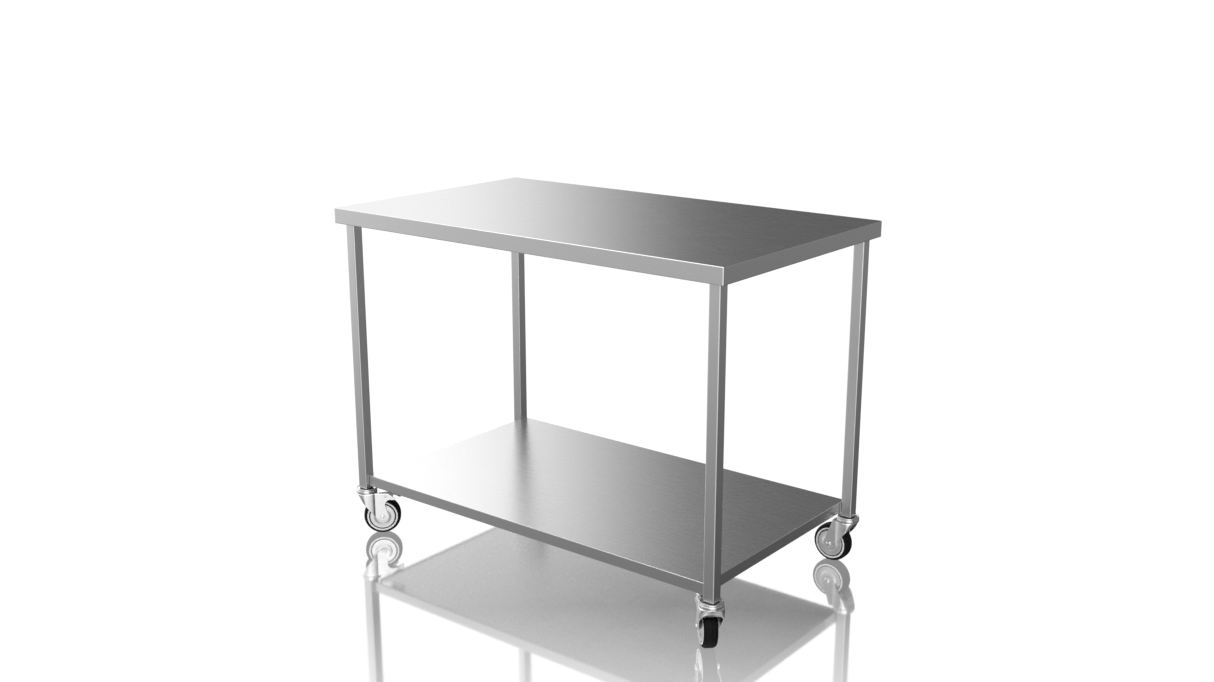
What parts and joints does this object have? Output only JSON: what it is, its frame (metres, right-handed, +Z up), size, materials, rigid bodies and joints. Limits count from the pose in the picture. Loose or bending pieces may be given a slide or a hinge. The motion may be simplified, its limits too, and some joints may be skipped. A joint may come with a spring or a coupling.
{
  "type": "stainless work table",
  "caption": "Mobile stainless steel work table with a flat top, a full lower shelf, square legs and swivel castors, the front pair braked.",
  "frame": {"origin": "on the floor, under the middle of the worktop", "axes": "+X along the worktop's length to the right as seen from the front, +Y to the back, +Z up"},
  "size_m": [1.2, 0.7, 0.9],
  "materials": {
    "satin_stainless": "satin brushed stainless steel sheet and tube",
    "frame_stainless": "mill finish stainless steel, under the worktop",
    "zinc_steel": "bright zinc plated pressed steel",
    "guard_steel": "pressed steel disc, dull zinc plate",
    "black_rubber": "smooth black rubber, slightly satin",
    "white_polyamide": "white moulded polyamide",
    "dark_polyamide": "dark moulded polyamide"
  },
  "bodies": {
    "table": {"worktop": "satin_stainless", "worktop_stiffener": "frame_stainless", "rail_front": "frame_stainless", "rail_back": "frame_stainless", "rail_left": "frame_stainless", "rail_right": "frame_stainless", "lower_shelf": "satin_stainless", "shelf_base_panel": "satin_stainless", "leg_front_left": "satin_stainless", "leg_insert_front_left": "dark_polyamide", "kingpin_front_left": "zinc_steel", "swivel_head_front_left": "zinc_steel", "ball_ring_front_left": "zinc_steel", "leg_front_right": "satin_stainless", "leg_insert_front_right": "dark_polyamide", "kingpin_front_right": "zinc_steel", "swivel_head_front_right": "zinc_steel", "ball_ring_front_right": "zinc_steel", "leg_back_left": "satin_stainless", "leg_insert_back_left": "dark_polyamide", "kingpin_back_left": "zinc_steel", "swivel_head_back_left": "zinc_steel", "ball_ring_back_left": "zinc_steel", "leg_back_right": "satin_stainless", "leg_insert_back_right": "dark_polyamide", "kingpin_back_right": "zinc_steel", "swivel_head_back_right": "zinc_steel", "ball_ring_back_right": "zinc_steel"},
    "castor_front_left": {"fork_front_left": "zinc_steel", "axle_bolt_front_left": "zinc_steel", "axle_nut_front_left": "zinc_steel", "brake_pin_front_left": "zinc_steel"},
    "wheel_front_left": {"wheel_centre_front_left": "white_polyamide", "tyre_front_left": "black_rubber", "thread_guard_near_front_left": "guard_steel", "thread_guard_far_front_left": "guard_steel"},
    "pedal_front_left": {"brake_pedal_front_left": "zinc_steel"},
    "castor_front_right": {"fork_front_right": "zinc_steel", "axle_bolt_front_right": "zinc_steel", "axle_nut_front_right": "zinc_steel", "brake_pin_front_right": "zinc_steel"},
    "wheel_front_right": {"wheel_centre_front_right": "white_polyamide", "tyre_front_right": "black_rubber", "thread_guard_near_front_right": "guard_steel", "thread_guard_far_front_right": "guard_steel"},
    "pedal_front_right": {"brake_pedal_front_right": "zinc_steel"},
    "castor_back_left": {"fork_back_left": "zinc_steel", "axle_bolt_back_left": "zinc_steel", "axle_nut_back_left": "zinc_steel"},
    "wheel_back_left": {"wheel_centre_back_left": "white_polyamide", "tyre_back_left": "black_rubber", "thread_guard_near_back_left": "guard_steel", "thread_guard_far_back_left": "guard_steel"},
    "castor_back_right": {"fork_back_right": "zinc_steel", "axle_bolt_back_right": "zinc_steel", "axle_nut_back_right": "zinc_steel"},
    "wheel_back_right": {"wheel_centre_back_right": "white_polyamide", "tyre_back_right": "black_rubber", "thread_guard_near_back_right": "guard_steel", "thread_guard_far_back_right": "guard_steel"}
  },
  "joints": [
    {"name": "swivel_front_left", "type": "hinge", "parent": "table", "child": "castor_front_left", "pos_m": [-0.565, -0.315, 0.1], "axis": [0, 0, 1], "continuous": true},
    {"name": "spin_front_left", "type": "hinge", "parent": "castor_front_left", "child": "wheel_front_left", "pos_m": [-0.53672, -0.28672, 0.05], "axis": [-0.7071, 0.7071, 0], "continuous": true},
    {"name": "brake_front_left", "type": "hinge", "parent": "castor_front_left", "child": "pedal_front_left", "pos_m": [-0.52965, -0.27964, 0.11], "axis": [-0.7071, 0.7071, 0], "range_deg": [0, 13]},
    {"name": "swivel_front_right", "type": "hinge", "parent": "table", "child": "castor_front_right", "pos_m": [0.565, -0.315, 0.1], "axis": [0, 0, 1], "continuous": true},
    {"name": "spin_front_right", "type": "hinge", "parent": "castor_front_right", "child": "wheel_front_right", "pos_m": [0.53672, -0.28672, 0.05], "axis": [-0.7071, -0.7071, 0], "continuous": true},
    {"name": "brake_front_right", "type": "hinge", "parent": "castor_front_right", "child": "pedal_front_right", "pos_m": [0.52965, -0.27964, 0.11], "axis": [-0.7071, -0.7071, 0], "range_deg": [0, 13]},
    {"name": "swivel_back_left", "type": "hinge", "parent": "table", "child": "castor_back_left", "pos_m": [-0.565, 0.315, 0.1], "axis": [0, 0, 1], "continuous": true},
    {"name": "spin_back_left", "type": "hinge", "parent": "castor_back_left", "child": "wheel_back_left", "pos_m": [-0.525, 0.315, 0.05], "axis": [0, 1, 0], "continuous": true},
    {"name": "swivel_back_right", "type": "hinge", "parent": "table", "child": "castor_back_right", "pos_m": [0.565, 0.315, 0.1], "axis": [0, 0, 1], "continuous": true},
    {"name": "spin_back_right", "type": "hinge", "parent": "castor_back_right", "child": "wheel_back_right", "pos_m": [0.525, 0.315, 0.05], "axis": [0, -1, 0], "continuous": true}
  ]
}
